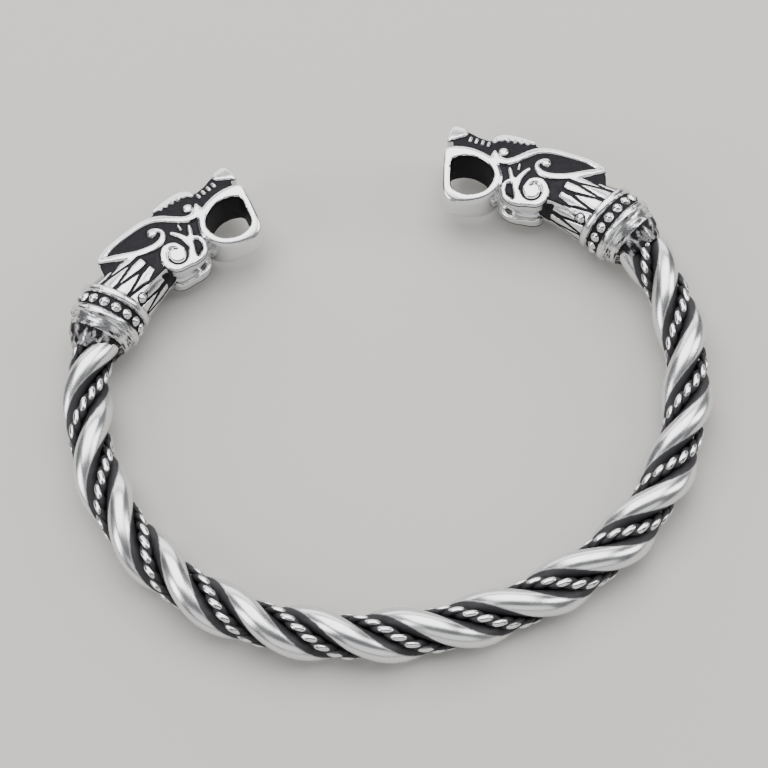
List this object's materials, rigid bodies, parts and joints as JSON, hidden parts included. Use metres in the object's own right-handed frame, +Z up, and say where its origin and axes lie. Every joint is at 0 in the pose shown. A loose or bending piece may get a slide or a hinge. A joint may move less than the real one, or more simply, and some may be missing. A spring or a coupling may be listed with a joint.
{
  "type": "arm ring",
  "caption": "Open cuff of two smooth and two corded wires twisted together, ending in facing animal heads with ringed mouths; sprung round the wrist or arm.",
  "frame": {"origin": "middle of the bounding box, on the surface that the ring lies on", "axes": "+X runs from the left head to the right head, +Y from the back of the ring to the gap, +Z is up"},
  "size_m": [0.0752, 0.0635, 0.0088],
  "materials": {
    "polished_wire": "polished stainless steel with dark oxide in the recesses",
    "oxidised_cord": "oxidised stainless steel, polished on the high points",
    "cast_head": "polished cast stainless steel with blackened recesses"
  },
  "bodies": {
    "root": {"smooth_strand_1": "polished_wire", "smooth_strand_2": "polished_wire", "rope_strand_1": "oxidised_cord", "rope_strand_2": "oxidised_cord", "left_head": "cast_head", "right_head": "cast_head"}
  },
  "joints": []
}
